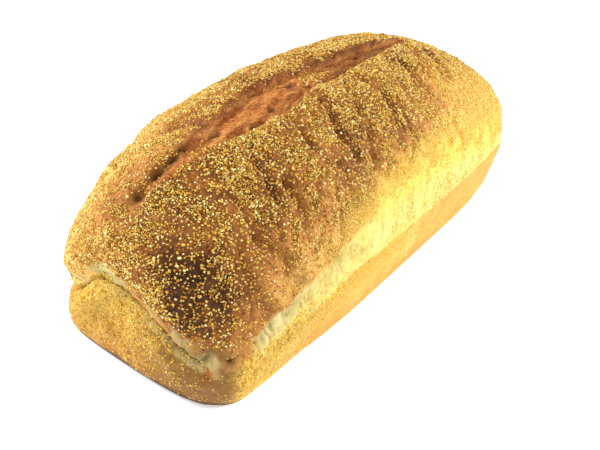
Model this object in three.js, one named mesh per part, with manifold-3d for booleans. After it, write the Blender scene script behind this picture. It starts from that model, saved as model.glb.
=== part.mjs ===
// A tin loaf: one baked solid, in millimetres, +Z up.
// Y runs along the loaf and X across it. The origin is on the flat base, in the middle of the outer size.
// The lower part took the shape of the baking tin. The dome rose out of it, hangs over the rim of the tin,
// least on the +X side, and was slashed along its crown before baking.

import * as THREE from 'three';
import { mergeVertices } from 'three/addons/utils/BufferGeometryUtils.js';
import Module from 'manifold-3d';

// Driving dimensions.
const BASE_LENGTH = 280;
const BASE_WIDTH = 96;
const HEIGHT = 101;
const FLARE = 3; // how far each tin wall leans out, from base to rim
const RIM_HEIGHT = 39; // the crease between the tin part and the dome, where it is level
const CREASE_DEPTH = 2.5;
const CREASE_EDGE = 1.5; // from the top of the tin wall up to the crease
const OVERHANG_LEFT = 7.5; // the dome past the rim, on the -X side
const OVERHANG_RIGHT = 4.5; // on the +X side
const OVERHANG_END = 8; // and at each end
const LIP_HEIGHT = 7; // from the crease up to the dome's widest level
const BASE_EDGE_RADIUS = 4;

// The crease isn't level. It lies lower along the +X side, dips at the front end's two corners and rises
// between them. Each has a height and the stretch, along or across the loaf, over which it sets in.
const RIGHT_DROP = 3;
const RIGHT_DIP = { height: 18, along: [90, 145], across: [-12, 52] };
const LEFT_DIP = { height: 20, along: [84, 122], across: [10, 38] };
const FRONT_RISE = { height: 1.5, along: [120, 145], middle: -13, width: 8 };

// The dome's profiles: half-size = full * (1 - s ^ rise) ^ (1 / fall), for s from 0 at its edge to 1 at its top.
const SIDE_PROFILE = { rise: 1.75, fall: 2.3 };
const FRONT_PROFILE = { rise: 2.43, fall: 3.1 };
const BACK_PROFILE = { rise: 1.63, fall: 2.05 };

// How square each level is in plan: the power of a superellipse, where 2 is an ellipse.
const TIN_SQUARENESS = 7;
const DOME_EDGE_SQUARENESS = 3.7;
const CROWN_SQUARENESS = 1.9;

// The slash: a lens in plan, cut to an even depth below the crust.
const SLASH_FRONT = -137;
const SLASH_BACK = 84;
const SLASH_WIDTH = 17;
const SLASH_DEPTH = 4.5;

// Fineness of the mesh.
const SEGMENTS_AROUND = 96;
const SEGMENTS_UP_DOME = 20;
const SEGMENTS_UP_LIP = 4;
const SEGMENTS_ON_BASE_EDGE = 3;
const SEGMENTS_ON_SLASH = 48;
const CROWN_FLAT = 0.6; // how much of one dome segment the small flat at the crown takes up

// The dome's widest half-sizes.
const LEFT = BASE_WIDTH / 2 + FLARE + OVERHANG_LEFT;
const RIGHT = BASE_WIDTH / 2 + FLARE + OVERHANG_RIGHT;
const END = BASE_LENGTH / 2 + FLARE + OVERHANG_END;

// One level of the body: its height, its half-sizes to the left, right, front and back, and how square it is.
// hang says how much of the crease's dips and rise the level takes part in.
function level(height, left, right, front, back, squareness, hang) {
  return { height, left, right, front, back, squareness, hang };
}

// A level of the tin part, grown outwards from the base's edge by the same amount on all sides.
function tinLevel(height, growth, hang) {
  const side = BASE_WIDTH / 2 + growth;
  const end = BASE_LENGTH / 2 + growth;
  return level(height, side, side, end, end, TIN_SQUARENESS, hang);
}

// The rounded edge of the base, then the wall up to the rim.
function tinLevels() {
  const levels = [];
  for (let step = 0; step <= SEGMENTS_ON_BASE_EDGE; step += 1) {
    const angle = (step / SEGMENTS_ON_BASE_EDGE) * (Math.PI / 2);
    const height = BASE_EDGE_RADIUS * (1 - Math.cos(angle));
    levels.push(tinLevel(height, BASE_EDGE_RADIUS * (Math.sin(angle) - 1), 0));
  }
  levels.push(tinLevel(RIM_HEIGHT / 2, FLARE / 2, 1 / 2));
  levels.push(tinLevel(RIM_HEIGHT - CREASE_EDGE, FLARE, 1));
  return levels;
}

// The crease, and the lip that curls out of it over the rim.
function lipLevels() {
  const levels = [tinLevel(RIM_HEIGHT, FLARE - CREASE_DEPTH, 1)];
  for (let step = 1; step <= SEGMENTS_UP_LIP; step += 1) {
    const angle = (step / SEGMENTS_UP_LIP) * (Math.PI / 2);
    const out = Math.sin(angle);
    const height = RIM_HEIGHT + LIP_HEIGHT * (1 - Math.cos(angle));
    const left = LEFT - (1 - out) * (OVERHANG_LEFT + CREASE_DEPTH);
    const right = RIGHT - (1 - out) * (OVERHANG_RIGHT + CREASE_DEPTH);
    const end = END - (1 - out) * (OVERHANG_END + CREASE_DEPTH);
    const squareness = THREE.MathUtils.lerp(TIN_SQUARENESS, DOME_EDGE_SQUARENESS, out);
    levels.push(level(height, left, right, end, end, squareness, 1));
  }
  return levels;
}

function profile(share, { rise, fall }) {
  return (1 - share ** rise) ** (1 / fall);
}

// The dome, from its widest level up to a small flat at the crown.
function domeLevels() {
  const start = RIM_HEIGHT + LIP_HEIGHT;
  const levels = [];
  for (let step = 1; step <= SEGMENTS_UP_DOME; step += 1) {
    const share = Math.sin((step / (SEGMENTS_UP_DOME + CROWN_FLAT)) * (Math.PI / 2));
    levels.push(level(
      start + (HEIGHT - start) * (step === SEGMENTS_UP_DOME ? 1 : share),
      LEFT * profile(share, SIDE_PROFILE),
      RIGHT * profile(share, SIDE_PROFILE),
      END * profile(share, FRONT_PROFILE),
      END * profile(share, BACK_PROFILE),
      THREE.MathUtils.lerp(DOME_EDGE_SQUARENESS, CROWN_SQUARENESS, share),
      (1 - share) ** 2,
    ));
  }
  return levels;
}

// How far the crease lies above its level height, or below it where that is negative, for a place on the
// dome's widest outline.
function creaseRise(x, y) {
  const { smoothstep } = THREE.MathUtils;
  const rightDip = RIGHT_DROP + RIGHT_DIP.height * smoothstep(-y, ...RIGHT_DIP.along);
  const leftDip = LEFT_DIP.height * smoothstep(-y, ...LEFT_DIP.along);
  const hump = Math.exp(-(((x - FRONT_RISE.middle) / FRONT_RISE.width) ** 2));
  const rise = FRONT_RISE.height * hump * smoothstep(-y, ...FRONT_RISE.along);
  return rise - rightDip * smoothstep(x, ...RIGHT_DIP.across) - leftDip * smoothstep(-x, ...LEFT_DIP.across);
}

// A point on a level's outline. The direction is a point of the unit circle, or its centre.
function pointOn(place, x, y) {
  const power = 2 / place.squareness;
  const across = Math.sign(x) * Math.abs(x) ** power;
  const along = Math.sign(y) * Math.abs(y) ** power;
  const halfWidth = across < 0 ? place.left : place.right;
  const halfLength = along < 0 ? place.front : place.back;
  const rise = creaseRise(across * (across < 0 ? LEFT : RIGHT), along * END);
  return [across * halfWidth, along * halfLength, place.height + place.hang * rise];
}

// Only the places of the points are kept, and points that share a place become one.
function welded(geometry) {
  geometry.deleteAttribute('normal');
  geometry.deleteAttribute('uv');
  return mergeVertices(geometry);
}

// A closed cylinder whose rows of points become the levels.
function bodyGeometry(levels) {
  const rows = levels.length - 1;
  const geometry = welded(new THREE.CylinderGeometry(1, 1, rows, SEGMENTS_AROUND, rows));
  geometry.rotateX(Math.PI / 2);
  const position = geometry.getAttribute('position');
  for (let i = 0; i < position.count; i += 1) {
    const row = Math.round(position.getZ(i) + rows / 2);
    position.setXYZ(i, ...pointOn(levels[row], position.getX(i), position.getY(i)));
  }
  return geometry;
}

// The slash in plan is a lens that comes to a point at each end. It stands from half the loaf's height.
function slashGeometry() {
  const halfLength = (SLASH_BACK - SLASH_FRONT) / 2;
  const middle = (SLASH_BACK + SLASH_FRONT) / 2;
  const points = [];
  for (const side of [1, -1]) {
    for (let step = 0; step < SEGMENTS_ON_SLASH; step += 1) {
      const share = side * ((2 * step) / SEGMENTS_ON_SLASH - 1);
      const x = side * (SLASH_WIDTH / 2) * (1 - share ** 2);
      points.push(new THREE.Vector2(x, middle + share * halfLength));
    }
  }
  const settings = { depth: HEIGHT, steps: 1, bevelEnabled: false };
  const lens = new THREE.ExtrudeGeometry(new THREE.Shape(points), settings);
  return welded(lens).translate(0, 0, HEIGHT / 2);
}

const wasm = await Module();
wasm.setup();

function solidFrom(geometry) {
  return new wasm.Manifold(new wasm.Mesh({
    numProp: 3,
    vertProperties: new Float32Array(geometry.getAttribute('position').array),
    triVerts: new Uint32Array(geometry.getIndex().array),
  }));
}

function geometryFrom(solid) {
  const { vertProperties, triVerts } = solid.getMesh();
  const geometry = new THREE.BufferGeometry();
  geometry.setAttribute('position', new THREE.BufferAttribute(new Float32Array(vertProperties), 3));
  geometry.setIndex(new THREE.BufferAttribute(new Uint32Array(triVerts), 1));
  geometry.computeVertexNormals();
  return geometry;
}

// The floor of the slash is the crust's own shape, let down by the depth of the cut.
const body = solidFrom(bodyGeometry([...tinLevels(), ...lipLevels(), ...domeLevels()]));
const floor = body.translate([0, 0, -SLASH_DEPTH]);
const cut = solidFrom(slashGeometry()).subtract(floor);

// So far X was measured from the middle of the base. The dome reaches further to the left of it.
const offset = (LEFT - RIGHT) / 2;

const loaf = new THREE.Mesh(
  geometryFrom(body.subtract(cut)).translate(offset, 0, 0),
  new THREE.MeshStandardMaterial({ color: 0xb8762f, roughness: 0.8, metalness: 0 }),
);
loaf.name = 'loaf';

const tinLoaf = new THREE.Group();
tinLoaf.add(loaf);

export default tinLoaf;
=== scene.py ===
# %% [markdown]
# # A tin loaf with a coat of maize grits
#
# The loaf is one baked solid. Its lower part took the shape of the tin, and the dome above it rose freely,
# sagged over the rim and tore where the crust was weakest. Maize grits were strewn on the dough before
# baking. This lesson models it in the order in which the eye reads it: the whole form, then the slash and
# the tears, then the crust's colours, and last the grits, which are real grains.

import math

import bpy
import numpy as np
from mathutils import Matrix, Vector, noise


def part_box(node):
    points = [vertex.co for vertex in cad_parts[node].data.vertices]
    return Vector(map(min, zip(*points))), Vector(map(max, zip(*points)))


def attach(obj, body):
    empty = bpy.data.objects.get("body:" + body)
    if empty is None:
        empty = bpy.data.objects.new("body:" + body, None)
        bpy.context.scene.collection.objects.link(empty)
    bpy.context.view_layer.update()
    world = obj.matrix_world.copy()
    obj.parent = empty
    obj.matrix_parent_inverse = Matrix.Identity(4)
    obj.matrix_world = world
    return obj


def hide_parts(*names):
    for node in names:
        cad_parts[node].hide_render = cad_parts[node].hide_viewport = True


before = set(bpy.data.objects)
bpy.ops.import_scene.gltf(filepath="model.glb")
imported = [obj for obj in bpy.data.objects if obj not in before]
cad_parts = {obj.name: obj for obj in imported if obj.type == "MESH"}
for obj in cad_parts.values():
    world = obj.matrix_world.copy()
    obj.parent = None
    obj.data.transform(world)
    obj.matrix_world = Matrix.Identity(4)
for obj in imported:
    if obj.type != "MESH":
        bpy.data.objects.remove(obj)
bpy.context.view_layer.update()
low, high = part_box("loaf")
MM = 0.001
WIDTH = (high.x - low.x) / MM
LENGTH = (high.y - low.y) / MM
HEIGHT = high.z / MM
print("the loaf in mm:", round(WIDTH, 1), "by", round(LENGTH, 1), "by", round(HEIGHT, 1))

# %% [markdown]
# ## Camera, floor and light
#
# The loaf is seen from its front end, a little from the right and from above, with a close camera that is
# turned about its own axis. The camera's axes are built from those three angles, so that the roll is plain
# to see. A pale floor and soft square lights stand in for a studio table, and the light from the right falls
# strongest. The floor also glows a little, so that the table goes white round the loaf. Places here are in
# metres. From the levels on they are in millimetres.

# %% Camera
AZIMUTH = math.radians(25.5)
ELEVATION = math.radians(30.5)
ROLL = math.radians(12.2)
DISTANCE = 0.425
AIM = Vector((0.0041, -0.0224, 0.0188))
LENS = 52.5

across_ground = math.cos(ELEVATION)
back = Vector((math.sin(AZIMUTH) * across_ground, -math.cos(AZIMUTH) * across_ground, math.sin(ELEVATION)))
right = Vector((math.cos(AZIMUTH), math.sin(AZIMUTH), 0))
turn = Matrix((right, back.cross(right), back)).transposed() @ Matrix.Rotation(ROLL, 3, "Z")
bpy.ops.object.camera_add(location=AIM + DISTANCE * back, rotation=turn.to_euler())
camera = bpy.context.object
camera.name = "camera"
camera.data.lens = LENS
camera.data.clip_start = 0.01
bpy.context.scene.camera = camera
print("camera at", tuple(round(c, 3) for c in camera.location))

# %% Floor
FLOOR_SIZE = 40
FLOOR_GAP = 0.0002
FLOOR_FINISH = {
    "Base Color": (0.88, 0.88, 0.88, 1),
    "Roughness": 0.8,
    "Emission Color": (1, 1, 1, 1),
    "Emission Strength": 0.58,
}

bpy.ops.mesh.primitive_plane_add(size=FLOOR_SIZE, location=(0, 0, -FLOOR_GAP))
floor = bpy.context.object
floor.name = "floor"
pale_table = bpy.data.materials.new("pale_table")
pale_table.use_nodes = True
for socket, value in FLOOR_FINISH.items():
    pale_table.node_tree.nodes["Principled BSDF"].inputs[socket].default_value = value
floor.data.materials.append(pale_table)

# %% Lights
LIGHTS_FACE = Vector((0, 0, 0.04))
SKY_STRENGTH = 0.42


def softbox(name, place, size, power, colour):
    """A square area light that faces the middle of the loaf."""
    facing = (LIGHTS_FACE - Vector(place)).to_track_quat("-Z", "Y")
    bpy.ops.object.light_add(type="AREA", location=place, rotation=facing.to_euler())
    light = bpy.context.object
    light.name = name
    light.data.size = size
    light.data.energy = power
    light.data.color = colour


softbox("key_right", (0.60, 0.36, 0.36), 0.16, 4.9, (1.0, 0.98, 0.95))
softbox("fill_left", (-0.66, -0.36, 0.44), 0.22, 5.2, (1.0, 0.98, 0.96))
softbox("top", (0.05, -0.55, 0.78), 0.12, 2.8, (1.0, 1.0, 1.0))

world = bpy.data.worlds.new("studio")
world.use_nodes = True
sky = world.node_tree.nodes["Background"]
sky.inputs["Color"].default_value = (1, 1, 1, 1)
sky.inputs["Strength"].default_value = SKY_STRENGTH
bpy.context.scene.world = world
bpy.context.scene.view_settings.view_transform = "Standard"

# %% [markdown]
# ## The form of the loaf
#
# A loaf could be pushed out of a cube with proportional editing, but its size and its overhang are known,
# so it is stacked in levels instead. A unit cylinder is extruded once for each level, and every ring of
# points is then laid on that level's outline: the base's edge, the wall that the tin shaped, the crease at
# the rim, the lip over it and the dome. An outline is a superellipse, which is nearly a rectangle in the
# tin and nearly an ellipse at the crown.

# %% The driving sizes, in mm
BASE_HALF_WIDTH = 48
BASE_HALF_LENGTH = 140
OFFSET = 1.5  # the frame's middle lies this far to the left of the base's middle
LEFT = WIDTH / 2 + OFFSET
RIGHT = WIDTH / 2 - OFFSET
END = LENGTH / 2
FLARE = 3  # how far each tin wall leans out, from base to rim
RIM_HEIGHT = 39
LIP_HEIGHT = 7  # from the crease up to the dome's widest level
CREASE_DEPTH = 3.0
CREASE_EDGE = 2.0
BASE_EDGE = 4
TIN_SQUARENESS = 7
EDGE_SQUARENESS = 3.7
CROWN_SQUARENESS = 1.9
LEVELS_IN_DOME = 24
CROWN_FLAT = 0.6  # how much of one dome level the small flat at the crown takes up

# A profile is the half size from the dome's edge to its top: full * (1 - share ** rise) ** (1 / fall).
SIDE_PROFILE = (1.75, 2.3)
FRONT_PROFILE = (2.43, 3.1)
REAR_PROFILE = (1.63, 2.05)


# %% The levels
def level(height, left, right, front, rear, squareness, hang):
    """A level's height, its half sizes, how square it is, and how much of the crease's dips it takes."""
    names = ("height", "left", "right", "front", "rear", "squareness", "hang")
    return dict(zip(names, (height, left, right, front, rear, squareness, hang)))


def tin_level(height, growth, hang):
    side = BASE_HALF_WIDTH + growth
    end = BASE_HALF_LENGTH + growth
    return level(height, side, side, end, end, TIN_SQUARENESS, hang)


def tin_levels():
    levels = []
    for degrees in (0, 30, 60, 90):
        angle = math.radians(degrees)
        levels.append(tin_level(BASE_EDGE * (1 - math.cos(angle)), BASE_EDGE * (math.sin(angle) - 1), 0))
    for share in (0.35, 0.65):
        levels.append(tin_level(share * RIM_HEIGHT, share * FLARE, share))
    levels.append(tin_level(RIM_HEIGHT - CREASE_EDGE, FLARE, 1))
    levels.append(tin_level(RIM_HEIGHT, FLARE - CREASE_DEPTH, 1))
    return levels


def lip_levels():
    levels = []
    inner_side = BASE_HALF_WIDTH + FLARE - CREASE_DEPTH
    inner_end = BASE_HALF_LENGTH + FLARE - CREASE_DEPTH
    for degrees in (22, 45, 68, 90):
        out = math.sin(math.radians(degrees))
        up = 1 - math.cos(math.radians(degrees))
        left_side = inner_side + out * (LEFT - inner_side)
        right_side = inner_side + out * (RIGHT - inner_side)
        end = inner_end + out * (END - inner_end)
        squareness = TIN_SQUARENESS + out * (EDGE_SQUARENESS - TIN_SQUARENESS)
        levels.append(level(RIM_HEIGHT + up * LIP_HEIGHT, left_side, right_side, end, end, squareness, 1))
    return levels


def profile(share, rise, fall):
    return (1 - share ** rise) ** (1 / fall)


def dome_levels():
    levels = []
    widest = RIM_HEIGHT + LIP_HEIGHT
    for step in range(1, LEVELS_IN_DOME + 1):
        share = math.sin(step / (LEVELS_IN_DOME + CROWN_FLAT) * math.pi / 2)
        levels.append(level(
            widest + (HEIGHT - widest) * share,
            LEFT * profile(share, *SIDE_PROFILE),
            RIGHT * profile(share, *SIDE_PROFILE),
            END * profile(share, *FRONT_PROFILE),
            END * profile(share, *REAR_PROFILE),
            EDGE_SQUARENESS + share * (CROWN_SQUARENESS - EDGE_SQUARENESS),
            (1 - share) ** 2,
        ))
    return levels


levels = tin_levels() + lip_levels() + dome_levels()
print(len(levels), "levels")


# %% [markdown]
# ## Helpers
#
# Most of the sculpting is done in code on arrays of points, in millimetres, measured from the middle of the
# base. It could be done by hand with a brush, but then it couldn't be repeated or measured. ease and hill
# are the two brushes: a soft step and a soft bump. cloud is smooth seeded noise.

# %% Helpers for selecting faces and applying modifiers
def only(piece):
    """Makes piece the one selected and active object."""
    bpy.ops.object.select_all(action="DESELECT")
    piece.select_set(True)
    bpy.context.view_layer.objects.active = piece


def choose(piece, test):
    """Selects those faces for which test(centre in mm, normal) is true, and goes into edit mode."""
    only(piece)
    for part in (piece.data.vertices, piece.data.edges):
        part.foreach_set("select", np.zeros(len(part), bool))
    count = len(piece.data.polygons)
    centres = np.empty(count * 3)
    normals = np.empty(count * 3)
    piece.data.polygons.foreach_get("center", centres)
    piece.data.polygons.foreach_get("normal", normals)
    places = centres.reshape(-1, 3) / MM
    piece.data.polygons.foreach_set("select", test(places, normals.reshape(-1, 3)))
    bpy.ops.object.mode_set(mode="EDIT")
    bpy.ops.mesh.select_mode(type="FACE")


def apply_modifier(piece, kind, **settings):
    only(piece)
    modifier = piece.modifiers.new(kind.lower(), kind)
    for key, value in settings.items():
        setattr(modifier, key, value)
    bpy.ops.object.modifier_apply(modifier=modifier.name)


# %% Helpers for a piece's points, in mm
def points_of(piece):
    flat = np.empty(len(piece.data.vertices) * 3)
    piece.data.vertices.foreach_get("co", flat)
    return flat.reshape(-1, 3) / MM


def put_points(piece, places):
    piece.data.vertices.foreach_set("co", (places * MM).ravel())
    piece.data.update()


def normals_of(piece):
    flat = np.empty(len(piece.data.vertices) * 3, np.float32)
    piece.data.vertex_normals.foreach_get("vector", flat)
    return flat.reshape(-1, 3).astype(float)


# %% The two brushes and the noise
def ease(start, end, x):
    """0 before start, 1 past end, and a smooth ramp between. If end is the smaller, it runs downwards."""
    share = np.clip((x - start) / (end - start), 0, 1)
    return share * share * (3 - 2 * share)


def hill(distance, width):
    """1 where distance is 0, falling off smoothly over about width."""
    return np.exp(-(distance / width) ** 2)


def cloud(places, size, seed, octaves=3):
    """Smooth noise from about -1 to 1, with features of about size mm, which may differ by axis."""
    shift = np.array((seed * 17.3, seed * 5.9, seed * 11.1))
    spots = places / np.array(size, float) + shift
    return np.array([noise.fractal(Vector(spot), 1.0, 2.0, octaves) for spot in spots])


# %% Extrude one ring of points for each level
POINTS_AROUND = 160

bpy.ops.object.select_all(action="DESELECT")
bpy.ops.mesh.primitive_cylinder_add(
    vertices=POINTS_AROUND, radius=MM, depth=MM, location=(0, 0, MM / 2), end_fill_type="NGON"
)
loaf = bpy.context.object
loaf.name = "crust"
bpy.ops.object.transform_apply(location=True, rotation=True, scale=True)
choose(loaf, lambda place, normal: normal[:, 2] > 0.9)
for _ in range(len(levels) - 2):
    bpy.ops.mesh.extrude_region_move(TRANSFORM_OT_translate={"value": (0, 0, MM)})
bpy.ops.object.mode_set(mode="OBJECT")
print("rings of points:", len(loaf.data.vertices) // POINTS_AROUND)

# %% The crease, which isn't level
# It lies lower along the right side, dips at the front end's two corners and rises between them. Each of
# these has a height and the stretch, along or across the loaf, over which it sets in.
RIGHT_DROP = 3
RIGHT_DIP = {"height": 18, "along": (90, 145), "across": (-12, 52)}
LEFT_DIP = {"height": 20, "along": (84, 122), "across": (10, 38)}
FRONT_RISE = {"height": 1.5, "along": (120, 145), "middle": -13, "width": 8}


def crease_height(x, y):
    """The height of the crease between the tin part and the dome."""
    right_dip = RIGHT_DROP + RIGHT_DIP["height"] * ease(*RIGHT_DIP["along"], -y)
    right_dip *= ease(*RIGHT_DIP["across"], x)
    left_dip = LEFT_DIP["height"] * ease(*LEFT_DIP["across"], -x) * ease(*LEFT_DIP["along"], -y)
    rise = FRONT_RISE["height"] * hill(x - FRONT_RISE["middle"], FRONT_RISE["width"])
    rise *= ease(*FRONT_RISE["along"], -y)
    return RIM_HEIGHT + rise - right_dip - left_dip


# %% Lay each ring on its level's outline
unit = points_of(loaf)
rows = unit[:, 2].round().astype(int)
row = {key: np.array([one[key] for one in levels])[rows] for key in levels[0]}
power = 2 / row["squareness"]
across = np.sign(unit[:, 0]) * np.abs(unit[:, 0].round(6)) ** power
along = np.sign(unit[:, 1]) * np.abs(unit[:, 1].round(6)) ** power
x = across * np.where(across < 0, row["left"], row["right"])
y = along * np.where(along < 0, row["front"], row["rear"])
swing = crease_height(across * np.where(across < 0, LEFT, RIGHT), along * END) - RIM_HEIGHT
put_points(loaf, np.stack([x, y, row["height"] + row["hang"] * swing], 1))
print("stacked form:", len(loaf.data.vertices), "points")

# %% [markdown]
# ## An even skin
#
# The stacked rings are long and thin, and crowd together at the crown. They could be subdivided, but a
# sculpt wants small faces of one size. A voxel remesh lays an even grid over the same form, and a few
# rounds of smoothing take out its steps.

# %% Remesh and smooth
FIRST_VOXEL = 1.3
apply_modifier(loaf, "REMESH", mode="VOXEL", voxel_size=FIRST_VOXEL * MM)
apply_modifier(loaf, "SMOOTH", factor=0.5, iterations=5)
print("first skin:", len(loaf.data.vertices), "points")

# %% [markdown]
# ## The first sculpt: lumps, dents and the front end
#
# Dough is never even. The dome has lumps, the tin's end and sides have dents, and at the left front corner
# the dome's edge pulls back and leaves a notch. These could be sculpted with a soft brush, which moves
# points along the surface's own direction. Here each soft bump is one line, so its place and height can be
# read and changed. The front end is moved along the loaf instead, to keep its lip straight.

# %% First sculpt: along the surface's own direction
p = points_of(loaf)
n = normals_of(loaf)
x, y, z = p.T
crease_gap = z - crease_height(x, y)
dome = ease(2, 8, crease_gap)
base_free = ease(3, 9, z)
front_end = ease(130, 142, -y) * (1 - dome)
left_corner = ease(20, 36, -x) * ease(96, 120, -y)
merged_corner = ease(36, 43, x) * ease(118, 132, -y)

lumps = 1.0 * cloud(p, 38, 3, 2) + 0.5 * cloud(p, 14, 4, 2)
dents = 0.8 * cloud(p, 16, 5, 2) + 0.35 * cloud(p, 6, 6, 2)
swell = dome * (lumps - 0.5) + (1 - dome) * base_free * dents * (0.5 + 1.5 * front_end)

# The front end's middle bulges low down.
swell += 1.8 * front_end * hill(z - 12, 10) * hill(x, 34)

# The notch at the left front corner, at the crease and a little below it.
swell -= 8.5 * left_corner * hill(crease_gap + 0.5, 4.0) + 1.0 * left_corner * hill(crease_gap + 9, 5)

# The dome's left shoulder is fuller near the front, high and low.
swell += 0.9 * ease(14, 36, -x) * hill(y + 112, 26) * hill(z - 68, 16)
swell += 0.5 * ease(20, 46, -x) * hill(y + 122, 20) * hill(z - 48, 14)

# So are the right side's two corners: the dome at the rear, and the tin part at the front and the rear.
swell += 2.6 * dome * ease(95, 135, y) * ease(0, 30, x) * hill(z - 56, 20)
swell += 1.6 * (1 - dome) * ease(36, 46, x) * ease(116, 134, -y) * ease(24, 8, z)
swell += 2.2 * (1 - dome) * base_free * ease(105, 135, y) * ease(20, 44, x)

# The foot of the right side is a little hollow, and at its front corner the crease has closed.
swell -= 1.7 * hill(y + 92, 28) * ease(40, 46, x) * ease(24, 8, z)
swell += 2.8 * merged_corner * hill(crease_gap + 0.5, 2.6)
p = p + n * swell[:, None]
print("swell from", round(swell.min(), 1), "to", round(swell.max(), 1), "mm")

# %% First sculpt: the front end, moved along and across the loaf
x, y, z = p.T
end_foot = ease(120, 138, -y) * ease(34, 10, z)
p[:, 1] += end_foot * (1.6 * ease(22, 44, -x) - 1.5 * hill(x - 12, 26))

# The lip is drawn in and the tin part below it comes out, so that the crease between them shows.
at_end = ease(118, 138, -y) * ease(42, 24, x)
lip_in = (4.6 + 2.0 * ease(6, 24, -x)) * hill(crease_gap - 5, 7) * ease(-1, 3, crease_gap)
tin_out = 2.8 * hill(crease_gap + 7, 6) * ease(-1, -4, crease_gap) * ease(38, 24, -x)
p[:, 1] += at_end * (lip_in - tin_out)
p[:, 0] += 1.6 * left_corner * hill(crease_gap - 6, 8)
drawn_in = (at_end * lip_in).max()
pushed_out = (at_end * tin_out).max()
print("lip drawn in by up to", round(drawn_in, 1), "mm, tin part out by up to", round(pushed_out, 1), "mm")

# %% [markdown]
# ## The slash
#
# A baker cuts the dough along its crown, and in the oven the cut opens to a rough bed with raised lips. The
# left lip curls over the bed. The slash could be cut out with a Boolean, but that leaves hard edges. So the
# crust is pressed down between two wavering lines, and its lips are swelled and pushed over the bed.

# %% The slash in plan: its two lips, as places across the loaf along its length
SLASH_STATIONS = (-141, -120, -96, -72, -48, -15, 15, 45, 76)
LEFT_LIP = (-5.5, -5.5, -10.0, -15.0, -13.5, -10.5, -9.0, -7.0, -2.0)
RIGHT_LIP = (-3.0, 2.5, 8.0, 10.5, 8.5, 7.5, 6.0, 3.0, -1.0)
LIP_WAVER = 1.3
CROWN_FROM = 60  # the slash and its burst bubbles all lie above this height


def slash_at(p):
    """The share across the slash, from -1 at its left lip to 1 at its right, its half width and depth."""
    y = p[:, 1]
    line = np.stack([np.zeros_like(y), y, np.zeros_like(y)], 1)
    left = np.interp(y, SLASH_STATIONS, LEFT_LIP) + LIP_WAVER * cloud(line, 8, 1)
    right = np.interp(y, SLASH_STATIONS, RIGHT_LIP) + LIP_WAVER * cloud(line, 8, 2)
    half = np.maximum((right - left) / 2, 0.6)
    share = (p[:, 0] - (left + right) / 2) / half
    opening = 0.45 * ease(-144, -132, y) + 0.55 * ease(-128, -104, y)
    depth = opening * (1 - ease(30, 78, y)) * (p[:, 2] > CROWN_FROM)
    return share, half, depth


# %% Press the slash in
SLASH_DEPTH = 5.2
LIP_SWELL = 0.8
LEFT_CURL = 2.2
RIGHT_CURL = 1.0

share, half, depth = slash_at(p)
inside = 1 - ease(0.84, 1.06, np.abs(share))
outside = (np.abs(share) - 1) * half
bed = 0.72 + 0.28 * ease(0.15, 0.85, np.abs(share))
p[:, 2] += depth * (LIP_SWELL * hill(outside - 2.2, 3.0) * (1 - inside) - SLASH_DEPTH * inside * bed)
curl = np.where(share < 0, LEFT_CURL, RIGHT_CURL)
p[:, 0] -= np.sign(share) * curl * depth * hill(outside - 1.2, 1.7)
put_points(loaf, p)
print("slash pressed in, deepest", round(SLASH_DEPTH, 1), "mm")

# %% [markdown]
# ## A finer skin where the crust is torn
#
# The pressed walls are stretched, so the skin is remeshed once more. Then the places with fine detail are
# subdivided, because a torn strand is hardly a millimetre wide: the slash, the torn band on the right, and
# the fold at the front end. The flat base needs few points, so it is thinned to pay for them.

# %% Second skin
SECOND_VOXEL = 1.4
TEAR_TOP = 67  # the highest place of the torn band's upper edge, on the right side
TEAR_PEAK = -20  # and where it is, along the loaf


def right_tear_top(y):
    """The height of the dome's crust above the torn band on the right side: an arch."""
    from_peak = y - TEAR_PEAK
    front = TEAR_TOP - 33 * (from_peak / 105) ** 2
    rear = TEAR_TOP - 12 * (from_peak / 112) ** 2
    return np.where(from_peak < 0, front, rear)


def needs_detail(place, normal):
    x, y, z = place.T
    in_slash = (z > 68) & (np.abs(slash_at(place)[0]) < 1.25) & (y > -143) & (y < 70)
    in_slash |= (z > 62) & (np.abs(x + 4) < 9) & (y > -144) & (y < -95)
    crease = crease_height(x, y)
    on_right = (x > 40) & (z > crease - 2) & (z < right_tear_top(y) + 1) & (y < 0)
    on_front = (y < -134) & (z > crease - 7) & (z < crease + 7)
    return in_slash | on_right | on_front


apply_modifier(loaf, "REMESH", mode="VOXEL", voxel_size=SECOND_VOXEL * MM)
apply_modifier(loaf, "SMOOTH", factor=0.5, iterations=2)
choose(loaf, needs_detail)
bpy.ops.mesh.subdivide(number_cuts=1, smoothness=0)
bpy.ops.object.mode_set(mode="OBJECT")
choose(loaf, lambda place, normal: (place[:, 2] < 0.5) & (normal[:, 2] < -0.99))
bpy.ops.mesh.decimate(ratio=0.1)
bpy.ops.object.mode_set(mode="OBJECT")
loaf.data.calc_loop_triangles()
print("second skin:", len(loaf.data.loop_triangles), "triangles")

# %% [markdown]
# ## Where each kind of crust lies
#
# The next sculpt, the colours and the grits all ask the same questions: is this place torn, in the slash,
# or in a burst bubble? Each answer could be painted as a mask. Here each is a function of the place, from 0
# to 1 with ragged edges, so that the shape and the colour of a tear can't drift apart.

# %% Burst bubbles and furrows that stand out
# A bubble has its place across and along, its half width, its half length and its depth.
PITS = (
    (-7.0, -137, 2.4, 2.6, 4.2), (-6.6, -128, 1.9, 4.2, 4.8), (-6.0, -121, 1.8, 2.6, 4.0),
    (-6.5, -115, 1.6, 2.2, 3.2), (-10.5, -101, 1.6, 2.8, 3.4), (-4.0, -99, 1.7, 2.2, 3.0),
    (4.0, -84, 1.3, 2.0, 2.2), (2.0, -69, 1.3, 1.8, 2.2), (-5.0, -46, 1.6, 2.4, 2.0),
    (1.0, -40, 1.0, 1.4, 1.6), (-2.0, 8, 1.1, 1.6, 1.6),
)
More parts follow.
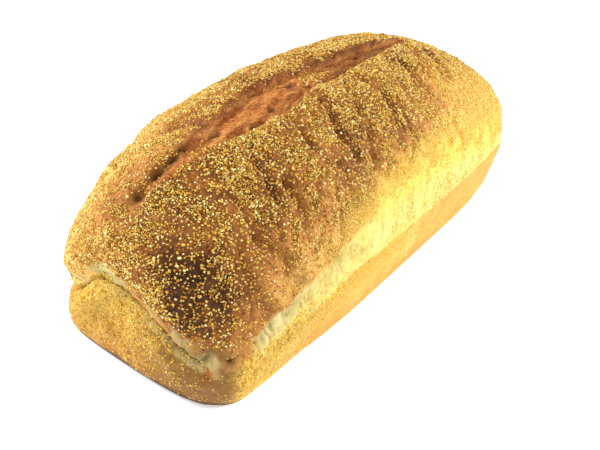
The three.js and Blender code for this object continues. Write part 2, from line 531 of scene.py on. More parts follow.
# A furrow is a line through a few places.
FURROWS = (
    ((13, -74), (24, -76), (32, -74), (38, -66)), ((24, -36), (36, -42), (51, -48)),
    ((20, -104), (30, -105)), ((30, -97), (41, -98)), ((33, -119), (44, -110), (50, -103)),
    ((30, -126), (39, -127), (48, -117)), ((14, -52), (27, -58), (36, -56)),
    ((12, -16), (26, -12), (40, -20)), ((12, 22), (28, 20), (42, 30)), ((14, 60), (30, 54)),
    ((-14, -100), (-24, -106), (-33, -103)), ((-16, -128), (-22, -134)), ((-14, -60), (-30, -52)),
    ((-12, -20), (-26, -26), (-40, -18)), ((-14, 30), (-32, 36)), ((-16, 70), (-34, 64)),
)


def burst_bubble(p, middle_x, middle_y, half_width, half_length):
    """1 in the middle of a burst bubble in the crown, falling off round it."""
    x, y, z = p.T
    reach = np.hypot((x - middle_x) / half_width, (y - middle_y) / half_length)
    return hill(reach, 1) * (z > CROWN_FROM)


def distance_to(p, line):
    """How far each point lies, in plan, from a line drawn through a few places."""
    nearest = np.full(len(p), 1e6)
    for start, end in zip(line[:-1], line[1:]):
        start = np.array(start, float)
        run = np.array(end, float) - start
        share = np.clip(((p[:, :2] - start) @ run) / (run @ run), 0, 1)
        nearest = np.minimum(nearest, np.linalg.norm(p[:, :2] - start - share[:, None] * run, axis=1))
    return nearest


# %% The flanks, and the noise that makes their many small furrows
def flank_places(p):
    """Places for noise that runs down the flanks, bent a little so that it doesn't look combed."""
    x, y, z = p.T
    bend = 7 * cloud(p, 34, 20, 2)
    return np.stack([np.abs(x) + 0.8 * (HEIGHT - z), y + 0.25 * np.abs(x) + bend, 0.3 * x], 1)


def furrow_noise(flank):
    return cloud(flank, (30, 14, 30), 21, 2)


# %% The four torn bands, one on each side above the crease
def right_torn_band(p, gap, top, ragged):
    """The widest one: its upper edge is softer towards the rear, and near the front it reaches lower."""
    x, y, z = p.T
    soft = 2.5 + 8 * ease(-100, -10, y)
    lower = 8 * hill(y + 92, 28)
    upper_edge = 1 - ease(-1, 1, (z - top) / soft)
    band = ease(34, 42, x) * ease(-1.5, 2.0, gap + lower + 0.6 * ragged) * upper_edge
    return band * (ease(-131, -120, y) * (1 - 0.55 * ease(120, 150, y)))


def left_torn_band(p, gap, crease, ragged):
    x, y, z = p.T
    top = crease + 13 - 9 * (y / 140) ** 2 + 2 * ragged
    return ease(36, 44, -x) * ease(-1.0, 2.0, gap) * (1 - ease(-2, 2, z - top))


def front_torn_band(p, gap, ragged):
    """This one is patchy, and fades out at the right corner."""
    x, y, z = p.T
    front_gap = gap - 0.8 * ragged
    band = ease(132, 140, -y) * ease(-4.5, -1.0, front_gap) * (1 - ease(6.0, 11.0, front_gap))
    return band * (ease(44, 36, x) * (0.4 + 0.6 * ease(-0.3, 0.2, cloud(p, (10, 10, 7), 51, 2))))


def rear_torn_band(p, gap, ragged):
    return ease(132, 142, p[:, 1]) * ease(-1.5, 0.5, gap) * (1 - ease(4, 8, gap - ragged))


# %% All the masks together
def surface_masks(p):
    x, y, z = p.T
    crease = crease_height(x, y)
    gap = z - crease
    ragged = 0.9 * cloud(p, (13, 13, 30), 11, 2) + 0.5 * cloud(p, (3, 3, 12), 12, 2)
    top = right_tear_top(y) + ragged
    right_band = right_torn_band(p, gap, top, ragged)
    left_band = left_torn_band(p, gap, crease, ragged)
    front_band = front_torn_band(p, gap, ragged)
    rear_band = rear_torn_band(p, gap, ragged)
    share, _, depth = slash_at(p)
    pits = np.zeros_like(x)
    for *pit, deep in PITS:
        pits = np.maximum(pits, burst_bubble(p, *pit))
    return {
        "crease": crease,
        "top": top,
        "dome": ease(0.5, 4.0, gap),
        "right_band": right_band,
        "front_band": front_band,
        "torn": np.clip(right_band + 0.7 * left_band + 0.75 * front_band + 0.7 * rear_band, 0, 1),
        "slash": ease(0, 0.25, depth) * (1 - ease(0.86, 1.02, np.abs(share))),
        "share": share,
        "depth": depth,
        "pits": pits,
    }


# %% [markdown]
# ## Tears, furrows and pits
#
# As the dome rises it pulls the soft side open, and the crumb tears into upright strands. Down the flanks
# the crust creases into furrows. The bed of the slash is rough and holds burst bubbles. A bump map could
# draw all of these, but they would vanish from the outline and from the exported mesh. So each is one soft
# brush or one stretched noise, added up as relief and then laid on along the surface's own direction.

# %% Second sculpt: furrows and ripples
FURROW_DEPTH = 2.7
RIPPLE_HEIGHT = 0.8

p = points_of(loaf)
n = normals_of(loaf)
mask = surface_masks(p)
x, y, z = p.T
flank = flank_places(p)

small_ones = 0.75 * hill(furrow_noise(flank), 0.10)
furrows = small_ones * ease(-0.3, 0.3, cloud(flank, 26, 36, 2)) * ease(6, 22, np.abs(x))
wander = 2.0 * cloud(p, 9, 37, 2)
for line in FURROWS:
    furrows = np.maximum(furrows, hill(distance_to(p, line) + wander, 1.9))
furrows *= mask["dome"] * (1 - mask["slash"]) * (1 - mask["torn"])
ripples = cloud(flank, (15, 7, 15), 22, 3)

relief = -FURROW_DEPTH * furrows
relief += RIPPLE_HEIGHT * ripples * mask["dome"] * (1 - mask["torn"]) * (1 - 0.6 * mask["slash"])

# %% Second sculpt: the slash's bed, its burst bubbles and the flap at its front end
streaks = cloud(p, (2.0, 8.0, 4.0), 23, 3)
crumbs = cloud(p, 2.6, 24, 3)
relief += mask["slash"] * (0.55 * streaks + 0.5 * crumbs + 0.5 * cloud(p, 9, 25, 2))
for *pit, deep in PITS:
    relief -= deep * burst_bubble(p, *pit)
flap_line = np.interp(y, (-141, -120, -104), (-3.2, 0.5, 2))
flap = hill(x - flap_line, 2.2) * ease(-142, -136, y) * ease(-100, -112, y)
relief += 1.6 * flap * (z > CROWN_FROM)

# %% Second sculpt: the torn band on the right
on_right = ease(40, 46, x)
leaning = np.stack([x, y + 0.35 * z + 3 * cloud(p, 12, 44, 2), z], 1)
strands = cloud(leaning, (6, 2.1, 14), 26, 3) * (0.4 + 0.9 * ease(-0.4, 0.4, cloud(p, 14, 45, 2)))
strand_strength = 0.25 + 0.75 * ease(40, 90, -y)
relief += mask["right_band"] * (1.0 * strand_strength * strands - 0.4 - 1.0 * strand_strength)
relief += mask["right_band"] * (0.45 * cloud(p, 4.5, 38, 3) + 0.3 * cloud(p, (1.6, 1.2, 6), 39, 2))

# The dome's crust ends above the band in a raised edge, and two deeper hollows lie under it.
relief += 0.9 * on_right * hill(z - mask["top"] - 1.0, 2.0) * ease(-128, -110, y) * (1 - ease(20, 90, y))
hollow = hill(y + 80, 9) * hill(z - 53, 3) + 0.6 * hill(y + 108, 5) * hill(z - 42, 4)
relief -= 1.3 * on_right * hollow

# %% Second sculpt: the fold at the front end
gap = z - mask["crease"]
at_front = ease(130, 138, -y)
front_edge = at_front * ease(39, 29, x)
upright = cloud(p, (1.8, 6, 12), 27, 3)
drawn_out = cloud(p, (14, 6, 1.5), 29, 3)
front_strands = upright + (drawn_out - upright) * ease(14, 0, x)
relief += mask["front_band"] * (0.9 * front_strands + 0.6 * cloud(p, (5, 5, 2.4), 43, 3))
relief += front_edge * (1.2 * hill(gap - 5.5, 2.6) - 2.6 * hill(gap - 0.6, 1.2))
relief += front_edge * (1.1 * cloud(p, (7, 7, 5), 30, 3) + 0.6) * hill(gap + 4.5, 4.0)
folds = cloud(np.stack([x + 0.8 * z, y, z - 0.8 * x], 1), (2.2, 8, 14), 40, 2)
relief += front_edge * 0.8 * folds * hill(gap + 6, 6) * hill(x - 2, 22)

# Near the right front corner the crust has a small red tear and two cracks.
by_corner = ease(130, 136, -y)
tear = hill(np.hypot(x - 36, (z - 20) * 0.8), 2.2) * by_corner
long_crack = hill(np.hypot(x - 34 - 0.4 * (z - 27), (z - 27) * 0.4), 1.2)
crack = np.maximum(long_crack, hill(np.hypot(x - 41, z - 26), 1.1)) * by_corner
relief -= 1.2 * tear + 2.2 * crack

# %% Second sculpt: the grain of the baked surface
end_face = at_front * (1 - mask["dome"]) * ease(3, 8, z)
relief += end_face * (0.6 * cloud(p, 5, 34, 3) + 0.4 * cloud(p, 2.2, 35, 2))
relief += 0.22 * cloud(p, 3.2, 28, 3) * ease(2, 6, z) * (1 - mask["slash"])

# Where the torn crumb lies deep, and along the crease under the front lip, the material paints shade.
hollow_shade = mask["right_band"] * strand_strength * ease(0.05, 0.6, -strands) + 0.8 * on_right * hollow
hollow_shade += 0.7 * mask["front_band"] * ease(0.0, 0.6, -front_strands) + front_edge * hill(gap - 0.6, 1.2)

p = p + n * relief[:, None]
p[:, 2] = np.maximum(p[:, 2], 0)
put_points(loaf, p)
print("relief from", round(relief.min(), 1), "to", round(relief.max(), 1), "mm")

# %% Shift to the frame and set smooth faces
mask = surface_masks(p)
p[:, 0] += OFFSET
put_points(loaf, p)
only(loaf)
bpy.ops.object.shade_smooth()


# %% [markdown]
# ## How the grits are spread
#
# The grits lie thickest along the crown, in patches and clumps, and leave the furrows, the slash and the
# tears nearly bare. Below the crease only the front end and the front part of the right side carry more
# than a few. They could be placed by a painted weight map, but rules for the spread keep to the sculpt. The
# crust's colour depends on the spread too, because it is in shadow between grains, so it comes first.

# %% Where the grits lie
def scorched_front(p):
    """The front end's right shoulder, which faced the heat and browned most."""
    x, y, z = p.T
    return hill(x - 24, 17) * ease(112, 138, -y) * ease(24, 40, z)


def cover_on_dome(p, mask, flank, clumps):
    x, y, z = p.T
    patches = cloud(flank, (20, 10, 20), 41, 3)
    crown = hill(x, 26) * (1 - 0.5 * ease(100, 140, -y))
    bare = 0.9 * hill(furrow_noise(flank) - 0.18, 0.14)
    for line in FURROWS:
        bare = np.maximum(bare, 1.2 * hill(distance_to(p, line) - 2.0, 3.4))
    left_face = ease(-6, 16, -x) * ease(80, 120, -y)
    cover = 0.56 + 0.50 * crown + 0.95 * patches + clumps - 0.9 * bare - 0.22 * left_face
    cover -= 0.42 * scorched_front(p)
    cover += 0.12 * ease(20, 44, x)
    untorn = 1 - mask["torn"] * (1 - 0.35 * ease(-70, 0, y))
    edge = 1 - (0.4 + 0.55 * ease(126, 138, -y)) * ease(10, 3, z - mask["crease"])
    return np.clip(cover, 0.20, 1) * (mask["dome"] * untorn * (1 - 0.995 * mask["slash"])) * edge


def cover_on_tin(p, mask, clumps):
    x, y, z = p.T
    tin = (1 - mask["dome"]) * ease(2, 6, z)
    corner = 0.9 * ease(-139, -133, y) * ease(45, 48, x) * ease(-70, -112, y)
    corner = corner * ease(2, 6, z) * ease(6, 0, z - mask["crease"])
    side = 0.42 * (tin * ease(40, 47, x)) * ease(30, -60, y) * ease(14, 30, z)
    end = 0.8 * tin * ease(132, 139, -y) * hill(x + 12, 26) * ease(12, 30, z) * ease(-0.4, 0.5, clumps)
    everywhere = 0.12 * tin * (z > 1)
    return (corner + side) * (1 - 0.85 * mask["torn"]) + end + everywhere


def grits_density(p, mask):
    """From 0, bare, to 1, as thick as the grits ever lie."""
    x, y, z = p.T
    flank = flank_places(p)
    clumps = cloud(p, 5.5, 42, 2)
    in_slash = 0.5 * hill(np.hypot(x - 1, y + 112), 5) + 0.45 * hill(np.hypot(x + 3, (y + 30) * 0.6), 6)
    elsewhere = cover_on_tin(p, mask, clumps) + in_slash * mask["slash"]
    cleared = np.clip(1.8 * mask["pits"], 0, 1)
    return np.clip((cover_on_dome(p, mask, flank, clumps) + elsewhere) * (1 - cleared), 0, 1)


# %% How large and how yellow the grits are
def grits_size(p, mask):
    """Coarse on the crown and at the front's middle, fine towards the edges and below the crease."""
    x, y, z = p.T
    size = 0.90 - 0.28 * ease(16, 50, -x) - 0.22 * ease(26, 50, x) - 0.06 * ease(60, 140, y)
    size -= 0.14 * ease(-6, 16, -x) * ease(80, 120, -y) * ease(50, 16, -x)
    size -= 0.14 * ease(12, 0, z - mask["top"]) * ease(34, 42, x)
    coarse = np.maximum(mask["dome"], 1.3 * ease(-70, -112, y) * ease(44, 48, x))
    return size * (0.70 + 0.30 * coarse)


def grits_yellow(p, mask):
    """How much brighter and yellower the grits are where they lie on pale dough."""
    x, y, z = p.T
    by_band = ease(34, 42, x) * ease(14, 2, z - mask["top"]) * ease(-125, -60, y)
    rear = 0.75 * ease(-30, 60, y) * ease(10, 32, x)
    # On the left the grits are also brighter, as painted rim light.
    left = 0.45 * ease(0, 40, -x) * ease(-30, -90, y)
    return np.clip(np.maximum(1 - mask["dome"], by_band) + left + rear, 0, 1)


# %% [markdown]
# ## What the oven did to the crust
#
# The crust is one material, but its colour changes from place to place: gold where the tin held it, pale
# cream where it tore late, tan at the edges and dark brown where it faced the heat. Light and shade are
# painted into it too: shade between the grits, in furrows, hollows, pits and cracks, under the slash's lips
# and along the front end's foot, and rim light on the left edge. The zones could be painted by hand. Here
# they are stored on the points as attributes, because they follow the loaf's parts, and the material adds
# the fine variation.

# %% How brown the dome is
def store(piece, name, values):
    attribute = piece.data.attributes.new(name, "FLOAT", "POINT")
    attribute.data.foreach_set("value", np.asarray(values, np.float32))


x, y, z = points_of(loaf).T
x = x - OFFSET
places = np.stack([x, y, z], 1)
gap = z - mask["crease"]
over_band = z - mask["top"]
tin = 1 - mask["dome"]

front_dark = scorched_front(places) * (1 - 0.85 * ease(54, 74, z))
front_dark = np.maximum(front_dark, 0.28 * ease(75, 120, -y) * hill(x - 20, 24))
browning = 0.54 + 0.20 * cloud(places, 30, 31, 3) + 0.46 * front_dark - 0.07 * ease(60, 100, -y)

# The right flank is browner along its middle, and paler towards the rear and in a patch near the front. The
# rear of the crown is browner.
browning += 0.08 * hill(x - 26, 16) - 0.38 * ease(12, 32, x) * ease(-30, 60, y)
browning += 0.12 * hill(x, 18) * ease(-10, 40, y)
browning -= 0.10 * hill(x - 41, 12) * hill(y + 112, 26)

# Both edges, the rear and the left of the front end took less heat, and the left shoulder a little more.
# The left edge is also made paler as painted rim light.
browning -= 0.46 * ease(12, 40, -x) + 0.38 * ease(40, 125, y) + 0.24 * ease(34, 50, x)
browning -= 0.24 * ease(-8, 16, -x) * ease(84, 122, -y)
browning += 0.12 * hill(x + 22, 12) * ease(-20, -60, y)

# It is palest just above the crease and the torn band.
browning -= 0.40 * ease(15, 1, gap) * ease(120, 140, -y) * ease(46, 20, x)
browning -= 0.38 * ease(13, 0, over_band) * ease(34, 42, x) * ease(-125, -75, y)
browning -= 0.22 * ease(30, 0, gap) * ease(110, 135, -y) * ease(6, -16, x)
store(loaf, "browning", np.clip(browning, 0, 1))
print("browning from", round(float(browning.min()), 2), "to", round(float(browning.max()), 2))

# %% The zones: torn, slash, tin, and how thickly the grits cover them
density = grits_density(places, mask)
# Painted shade in the furrows and under the slash's lips. The slash's bed is also darker towards the rear.
groove_shade = mask["slash"] * hill(np.abs(mask["share"]) - 0.92, 0.14) * ease(0.1, 0.5, mask["depth"])
groove_shade += 0.45 * ease(-45, -8, y) * mask["slash"] + 0.8 * furrows * (1 - mask["slash"])
store(loaf, "torn", mask["torn"])
store(loaf, "hollow_shade", np.clip(hollow_shade, 0, 1))
store(loaf, "slash", mask["slash"])
store(loaf, "tin", tin)
# The material paints shade between the grains by cover, less of it on the right towards the rear.
store(loaf, "cover", density * (1 - 0.6 * ease(-30, 50, y) * ease(10, 34, x)))
# Painted shade in the burst bubbles and the cracks.
store(loaf, "pits", np.clip(mask["pits"] * 1.2 + 0.8 * crack, 0, 1))
store(loaf, "tear", np.clip(1.2 * tear, 0, 1))
store(loaf, "groove_shade", np.clip(groove_shade, 0, 1))

# %% Maize dust on the tin part and the torn band, and the yellow above the band
on_right = ease(40, 46, x)
side_dust = 0.7 * tin * ease(40, 48, x) * ease(40, -40, y) * ease(10, 30, z)
side_dust *= 1 - 0.8 * hill(y + 104, 16)
dust = 0.35 * mask["torn"] * ease(-90, 20, y) + side_dust
dust += 0.8 * tin * ease(130, 140, -y) * hill(x + 14, 26) * hill(gap + 6, 12)
dust += 0.75 * on_right * ease(-112, -96, y) * ease(10, -30, y) * hill(gap - 3, 7)
dust += 0.8 * on_right * ease(-74, -104, y) * ease(8, 0, gap) * ease(-138, -130, y)
dust += 0.6 * ease(42, 47, x) * hill(y + 66, 34) * ease(1, -2, gap) * ease(-14, -7, gap)
store(loaf, "dust", np.clip(dust, 0, 1))

fade = 3.5 + 3.5 * ease(-90, -20, y)
yellow = ease(36, 46, x) * np.exp(-np.clip(over_band - 1, 0, 40) / fade) * ease(-115, -30, y) * mask["dome"]
yellow *= 1 - 0.6 * ease(2, 16, -over_band)
store(loaf, "yellow", np.clip(yellow, 0, 1))

# %% Marks of the tin, mostly on the front end, with a painted shadow along its foot
# Towards its right and below about 30 mm, the front end is darker and more tan.
end_darker_to_right = ease(-8, 34, x) * ease(126, 138, -y) * (1 - ease(48, 51, x)) * (1 - ease(28, 38, z))
store(loaf, "end_darker_to_right", np.clip(end_darker_to_right, 0, 1))
# A painted contact shadow: a thin dark line along the foot of the front end.
store(loaf, "foot_shadow", ease(5.4, 3.0, z + 0.8 * cloud(places, 5, 46, 2)) * ease(120, 136, -y))
store(loaf, "end_face", ease(124, 136, -y))
store(loaf, "amber", ease(40, 47, x) * np.maximum(ease(0, 50, y), 0.8 * ease(20, 7, z)))
store(loaf, "end_cream", np.maximum(ease(124, 136, -y), 0.85 * ease(-60, -105, y)))


# %% [markdown]
# ## The crust's material
#
# The material starts with four finishes: the baked dome, the bed of the slash, the gold of the tin side and
# the cream of the torn crumb. Each is a colour ramp over noise. It could be four materials, but real crust
# runs from one into the next, so they are mixed by the stored zones, with edges made ragged by noise. Shade
# is painted into the finishes between the grits, in the furrows and under the slash's lips. Dust, a red
# tear, painted shade in hollows, burst bubbles and cracks, and a painted shadow along the front end's foot
# lie over them. A fine bump stands for the crust's own grain.

# %% Helpers for nodes
def colour(red, green, blue):
    """A colour from 0 to 255 on each channel, as a paint chart gives it, in Blender's linear values."""
    def linear(c):
        c = c / 255
        return c / 12.92 if c <= 0.04045 else ((c + 0.055) / 1.055) ** 2.4
    return (linear(red), linear(green), linear(blue), 1)


class Nodes:
    """A short way to add and join the nodes of one material."""

    def __init__(self, name):
        self.material = bpy.data.materials.new(name)
        self.material.use_nodes = True
        self.tree = self.material.node_tree
        self.shader = self.tree.nodes["Principled BSDF"]

    def add(self, kind, settings=None, **inputs):
        node = self.tree.nodes.new("ShaderNode" + kind)
        for key, value in (settings or {}).items():
            setattr(node, key, value)
        for key, value in inputs.items():
            self.feed(node.inputs[key.replace("_", " ")], value)
        return node

    def feed(self, socket, value):
        if isinstance(value, bpy.types.NodeSocket):
            self.tree.links.new(value, socket)
        else:
            socket.default_value = value

    def attribute(self, name):
        return self.add("Attribute", {"attribute_name": name}).outputs["Fac"]

    def noise(self, scale, detail=4.0, roughness=0.55, stretch=None):
        place = self.add("TexCoord").outputs["Object"]
        if stretch:
            place = self.add("Mapping", None, Vector=place, Scale=stretch).outputs["Vector"]
        node = self.add("TexNoise", None, Vector=place, Scale=scale, Detail=detail, Roughness=roughness)
        return node.outputs["Fac"]

    def math(self, operation, first, second, clamp=False):
        node = self.add("Math", {"operation": operation, "use_clamp": clamp})
        self.feed(node.inputs[0], first)
        self.feed(node.inputs[1], second)
        return node.outputs[0]

    def range(self, value, low_value, high_value, to_low=0.0, to_high=1.0):
        node = self.add("MapRange", {"interpolation_type": "SMOOTHSTEP"}, Value=value)
        names = ("From Min", "From Max", "To Min", "To Max")
        for key, number in zip(names, (low_value, high_value, to_low, to_high)):
            node.inputs[key].default_value = number
        return node.outputs["Result"]

    def mix(self, share, first, second):
        node = self.add("Mix", {"data_type": "RGBA"})
        self.feed(node.inputs["Factor"], share)
        self.feed(node.inputs[6], first)
        self.feed(node.inputs[7], second)
        return node.outputs[2]

    def ramp(self, value, stops):
        node = self.add("ValToRGB", None, Fac=value)
        elements = node.color_ramp.elements
        while len(elements) < len(stops):
            elements.new(0.5)
        for element, (position, tint) in zip(elements, stops):
            element.position = position
            element.color = tint
        return node.outputs["Color"]

    def zone(self, name, strength):
        """A stored zone, times a strength that is a number or a pattern."""
        return self.math("MULTIPLY", self.attribute(name), strength)

    def vary(self, value, pattern, reach, clamp=False):
        """The value, moved up or down by as much as reach where the pattern is light or dark."""
        return self.math("ADD", value, self.range(pattern, 0.3, 0.7, -reach, reach), clamp)


# %% The crust's colours
CRUST_BROWNS = (
    (0.0, colour(238, 192, 104)), (0.3, colour(206, 144, 72)), (0.55, colour(166, 104, 48)),
    (0.8, colour(102, 61, 29)), (1.0, colour(62, 38, 20)),
)
BED_BROWNS = ((0.3, colour(130, 68, 30)), (0.5, colour(190, 116, 56)), (0.72, colour(222, 162, 92)))
TIN_GOLDS = ((0.25, colour(200, 138, 58)), (0.5, colour(226, 172, 78)), (0.75, colour(238, 204, 110)))
CRUMB_CREAMS = ((0.3, colour(172, 158, 96)), (0.48, colour(222, 210, 134)), (0.66, colour(244, 236, 176)))
# Painted shade between the grits on the dome
SHADE_BETWEEN_GRITS = colour(46, 25, 11)
# The next two are painted shade: in the furrows and under the slash's lips.
FURROW_SHADE = colour(84, 44, 18)
UNDER_LIP_SHADE = colour(64, 32, 14)
PATCH_BROWN = colour(180, 124, 56)
AMBER = colour(216, 148, 60)
END_BROWN = colour(128, 86, 42)
SAND_SPECK = colour(128, 80, 32)
# Painted shade between the grits on the tin side
TIN_SHADE_BETWEEN_GRITS = colour(134, 86, 32)
DULL_CREAM = colour(194, 174, 116)
CORNER_TAN = colour(146, 110, 62)
# Painted shade in the torn crumb's hollows and the front crease
CRUMB_SHADE = colour(118, 94, 52)
MAIZE_YELLOW = colour(234, 198, 82)
MAIZE_DUST = colour(241, 204, 84)
TEAR_RED = colour(178, 98, 44)
# Painted shade in the burst bubbles and cracks
PIT_SHADE = colour(46, 24, 12)
# A painted contact shadow along the front end's foot
FOOT_SHADOW = colour(62, 44, 32)


# %% The four finishes
def baked_dome(m, coarse, fine):
    browned = m.vary(m.attribute("browning"), coarse, 0.14)
    browned = m.vary(browned, fine, 0.10, clamp=True)
    crust = m.ramp(browned, CRUST_BROWNS)
    # Painted shade between the grits, deeper where the crust is browner.
    shaded = m.zone("cover", m.range(m.attribute("browning"), 0.0, 0.42, 0.2, 0.95))
    crust = m.mix(shaded, crust, m.mix(0.76, crust, SHADE_BETWEEN_GRITS))
    # Painted shade in the furrows.
    return m.mix(m.zone("groove_shade", 0.45), crust, FURROW_SHADE)


def slash_bed(m, speck):
    streaks = m.noise(150, 5, 0.6, stretch=(2.4, 0.7, 1))
    bed = m.ramp(m.vary(streaks, speck, 0.12), BED_BROWNS)
    # Painted shade under the lips, and the rear of the bed darker.
    return m.mix(m.zone("groove_shade", 0.6), bed, UNDER_LIP_SHADE)


def tin_side(m, fine):
    gold = m.ramp(m.vary(m.noise(90, 6, 0.6), fine, 0.12), TIN_GOLDS)
    patchy = m.range(m.noise(140, 5, 0.7), 0.35, 0.65, 0.15, 0.65)
    sandy = m.range(m.noise(700, 3, 0.7), 0.48, 0.62, 0.0, 0.8)
    gold = m.mix(m.zone("end_face", patchy), gold, PATCH_BROWN)
    gold = m.mix(m.zone("amber", 0.6), gold, AMBER)
    gold = m.mix(m.zone("end_darker_to_right", 0.92), gold, END_BROWN)
    gold = m.mix(m.zone("end_face", sandy), gold, SAND_SPECK)
    # Painted shade between the grits on the tin side.
    return m.mix(m.zone("cover", 0.7), gold, TIN_SHADE_BETWEEN_GRITS)


def torn_crumb(m, fine):
    streaks = m.noise(90, 5, 0.6, stretch=(1, 3.5, 0.6))
    crumb = m.ramp(m.vary(streaks, fine, 0.1), CRUMB_CREAMS)
    return m.mix(m.zone("end_cream", 0.72), crumb, DULL_CREAM)


# %% The finishes laid over each other
def crust_material():
    m = Nodes("crust")
    coarse = m.noise(45, 5)
    fine = m.noise(420, 4)
    speck = m.noise(1100, 2)
    surface = m.mix(m.attribute("slash"), baked_dome(m, coarse, fine), slash_bed(m, speck))
    surface = m.mix(m.zone("end_darker_to_right", 0.6), surface, CORNER_TAN)
    tin_edge = m.range(m.vary(m.attribute("tin"), fine, 0.2), 0.35, 0.65)
    surface = m.mix(tin_edge, surface, tin_side(m, fine))
    torn_edge = m.range(m.vary(m.attribute("torn"), coarse, 0.15), 0.15, 0.85)
    surface = m.mix(torn_edge, surface, torn_crumb(m, fine))

    yellow_specks = m.range(m.noise(300, 4, 0.7), 0.3, 0.6, 0.55, 1.0)
    dust_specks = m.range(m.noise(800, 3), 0.38, 0.60)
    marks = (
        ("end_darker_to_right", 0.35, CORNER_TAN),
        # painted shade in the torn crumb's hollows and the front crease
        ("hollow_shade", 0.62, CRUMB_SHADE),
        ("yellow", yellow_specks, MAIZE_YELLOW),
        ("dust", dust_specks, MAIZE_DUST),
        ("tear", 0.6, TEAR_RED),
        # painted shade in the burst bubbles and cracks
        ("pits", 0.85, PIT_SHADE),
        # a painted contact shadow along the front end's foot
        ("foot_shadow", 0.9, FOOT_SHADOW),
    )
    for zone, strength, tint in marks:
        surface = m.mix(m.zone(zone, strength), surface, tint)

    rough = m.math("ADD", m.math("MULTIPLY", fine, 0.7), m.math("MULTIPLY", speck, 0.3))
    bump = m.add("Bump", None, Strength=0.8, Distance=0.0008, Height=rough)
    m.feed(m.shader.inputs["Base Color"], surface)
    m.feed(m.shader.inputs["Roughness"], m.range(fine, 0.3, 0.7, 0.5, 0.75))
    m.feed(m.shader.inputs["Normal"], bump.outputs["Normal"])
    m.shader.inputs["Specular IOR Level"].default_value = 0.15
    return m.material


loaf.data.materials.append(crust_material())
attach(loaf, "root")
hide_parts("loaf")

# %% [markdown]
# ## The grits
#
# Maize grits are crushed kernels with flat broken faces that catch the light. They run from coarse, about a
# millimetre across, down to a third of that. A bump map would leave them flat at the loaf's outline, so they
# are real grains. A few grains are modelled as cubes with their corners knocked about, which gives flat
# broken faces at little cost. Copies are then strewn over the crust, thickest on the crown, and sunk into it
# by about a third.

# %% The grains
KINDS_OF_GRAIN = 8
random = np.random.default_rng(7)


def grain(seed):
    """One crushed grain, 0.75 to 1 across, as an array of corners and an array of triangles."""
    bpy.ops.object.select_all(action="DESELECT")
    bpy.ops.mesh.primitive_cube_add(size=0.72)
    piece = bpy.context.object
    bpy.ops.object.mode_set(mode="EDIT")
    bpy.ops.mesh.select_all(action="SELECT")
    bpy.ops.transform.vertex_random(offset=0.24, seed=seed)
    bpy.ops.transform.resize(value=(1.0, 0.85, 0.8))
    bpy.ops.mesh.quads_convert_to_tris()
    bpy.ops.object.mode_set(mode="OBJECT")
    corners = points_of(piece) * MM
    triangles = np.array([list(face.vertices) for face in piece.data.polygons])
    bpy.data.objects.remove(piece)
    return corners, triangles


grains = [grain(seed) for seed in range(1, KINDS_OF_GRAIN + 1)]
print(len(grains), "grains of", len(grains[0][1]), "faces")

# %% Strew the grits
CANDIDATES = 290000
SIZE_SPREAD = 0.22

size = grits_size(places, mask)
yellowness = grits_yellow(places, mask)
loaf.data.calc_loop_triangles()
count = len(loaf.data.loop_triangles)
corners = np.empty(count * 3, int)
loaf.data.loop_triangles.foreach_get("vertices", corners)
corners = corners.reshape(-1, 3)
spots = places[corners]
normals = normals_of(loaf)[corners]
area = np.linalg.norm(np.cross(spots[:, 1] - spots[:, 0], spots[:, 2] - spots[:, 0]), axis=1) / 2
weight = area * density[corners].mean(1) ** 2
picked = random.choice(count, CANDIDATES, p=weight / weight.sum())
shares = random.dirichlet((1, 1, 1), CANDIDATES)
where = (spots[picked] * shares[:, :, None]).sum(1)
facing = (normals[picked] * shares[:, :, None]).sum(1)
facing /= np.linalg.norm(facing, axis=1)[:, None]
grain_size = (size[corners][picked] * shares).sum(1) * np.exp(random.normal(0, SIZE_SPREAD, CANDIDATES))
yellow_grain = (yellowness[corners][picked] * shares).sum(1)
tone = random.beta(1.0, 1.35, CANDIDATES)
print("area to strew:", round(float(weight.sum())), "square mm")

# %% Leave out grains that would lie in each other
SPACING = 0.68
WIDEST_GAP = 2.0


def apart(where, gap, cell):
    """The indexes of the places that keep their own gap to every place kept before."""
    kept = []
    grid = {}
    cells = np.floor(where / cell).astype(int).tolist()
    spots = where.tolist()
    gaps = gap.tolist()
    steps = [(i, j, k) for i in (-1, 0, 1) for j in (-1, 0, 1) for k in (-1, 0, 1)]
    for index, (i, j, k) in enumerate(cells):
        a, b, c = spots[index]
        limit = gaps[index] ** 2
        clear = True
        for di, dj, dk in steps:
            for other in grid.get((i + di, j + dj, k + dk), ()):
                u, v, w = spots[other]
                if (a - u) ** 2 + (b - v) ** 2 + (c - w) ** 2 < limit:
                    clear = False
                    break
            if not clear:
                break
        if clear:
            grid.setdefault((i, j, k), []).append(index)
            kept.append(index)
    return np.array(kept)


kept = apart(where, np.minimum(SPACING * grain_size, WIDEST_GAP), WIDEST_GAP)
print(len(kept), "grains kept of", CANDIDATES)

# %% Build the coats of grits
CELLS = 128  # the map that a coat's colours are baked to has this many small squares on each side
SPARE_CELLS = 100  # squares left empty in every coat, so that its last grains don't run off the map
OUT_OF_CRUST = 0.12  # how far a grain's middle stands out of the crust, as a share of its size
TILT = 0.35


def turned(facing, count):
    """One rotation for each grain: its flat side on the crust, with a random turn and some tilt."""
    up = facing + random.normal(0, TILT, (count, 3))
    up /= np.linalg.norm(up, axis=1)[:, None]
    side = np.cross(up, random.normal(0, 1, (count, 3)))
    side /= np.linalg.norm(side, axis=1)[:, None]
    return np.stack([side, np.cross(up, side), up], 2)


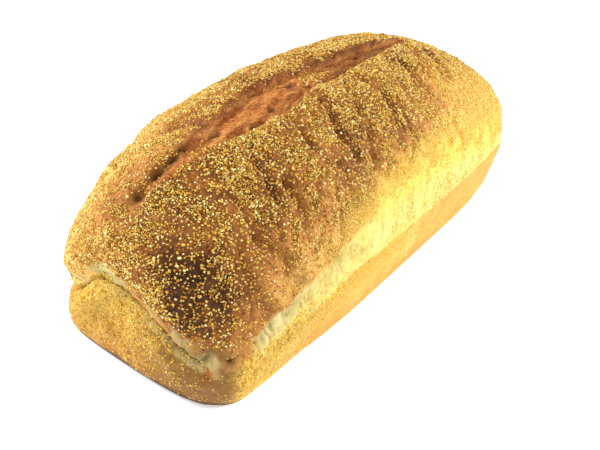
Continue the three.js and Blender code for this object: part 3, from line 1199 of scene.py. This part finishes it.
def coat(name, chosen):
    """Joins the chosen grains into one piece. Each has its own tone and its own square of the map."""
    count = len(chosen)
    kind = random.integers(0, len(grains), count)
    shapes = np.array([corners for corners, _ in grains])[kind]
    faces = np.array([triangles for _, triangles in grains])[kind]
    big = grain_size[chosen][:, None, None]
    spin = turned(facing[chosen], count)
    centre = where[chosen] + facing[chosen] * (OUT_OF_CRUST * grain_size[chosen])[:, None]
    points = np.einsum("nij,nkj->nki", spin, shapes * big) + centre[:, None, :]
    points[:, :, 0] += OFFSET
    per_grain = shapes.shape[1]
    loops = (faces + per_grain * np.arange(count)[:, None, None]).ravel()
    mesh = bpy.data.meshes.new(name)
    mesh.vertices.add(count * per_grain)
    mesh.vertices.foreach_set("co", (points * MM).ravel())
    mesh.loops.add(len(loops))
    mesh.loops.foreach_set("vertex_index", loops)
    mesh.polygons.add(len(loops) // 3)
    mesh.polygons.foreach_set("loop_start", np.arange(0, len(loops), 3))
    cell = np.arange(count)
    centre_uv = np.stack([(cell % CELLS + 0.5) / CELLS, (cell // CELLS + 0.5) / CELLS], 1)
    spread = shapes[:, :, :2] * 0.7 / CELLS + centre_uv[:, None, :]
    layer = mesh.uv_layers.new(name="OFBake")
    layer.data.foreach_set("uv", spread.reshape(-1, 2)[loops].ravel().astype(np.float32))
    mesh.update(calc_edges=True)
    piece = bpy.data.objects.new(name, mesh)
    bpy.context.collection.objects.link(piece)
    store(piece, "tone", np.repeat(tone[chosen], per_grain))
    store(piece, "yellow", np.repeat(yellow_grain[chosen], per_grain))
    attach(piece, "root")
    return piece


order = kept[np.argsort(where[kept, 1], kind="stable")]
limit = CELLS * CELLS - SPARE_CELLS
pieces = []
for side_name, side_test in (("left", where[order, 0] < -1), ("right", where[order, 0] >= -1)):
    group = order[side_test]
    parts = math.ceil(len(group) / limit)
    for number, chosen in enumerate(np.array_split(group, parts), 1):
        pieces.append(coat(f"grits_{side_name}_{number}", chosen))
print("coats:", [(piece.name, len(piece.data.polygons)) for piece in pieces])

# %% [markdown]
# ## The grits' material
#
# A grain's colour runs from toasted brown to pale maize. A noise would cut across a grain, so each grain
# carries one tone of its own as an attribute. Where the grits lie on pale dough, they are yellower.

# %% The grits' material
TOASTED = (
    (0.0, colour(140, 80, 22)), (0.3, colour(206, 146, 46)), (0.6, colour(240, 200, 84)),
    (1.0, colour(255, 242, 168)),
)
UNTOASTED = ((0.0, colour(218, 166, 54)), (0.4, colour(240, 200, 82)), (1.0, colour(252, 236, 146)))


def grits_material():
    m = Nodes("grits")
    toasted = m.ramp(m.attribute("tone"), TOASTED)
    untoasted = m.ramp(m.attribute("tone"), UNTOASTED)
    m.feed(m.shader.inputs["Base Color"], m.mix(m.attribute("yellow"), toasted, untoasted))
    m.shader.inputs["Roughness"].default_value = 0.3
    m.shader.inputs["Specular IOR Level"].default_value = 0.35
    return m.material


grits = grits_material()
for piece in pieces:
    piece.data.materials.append(grits)
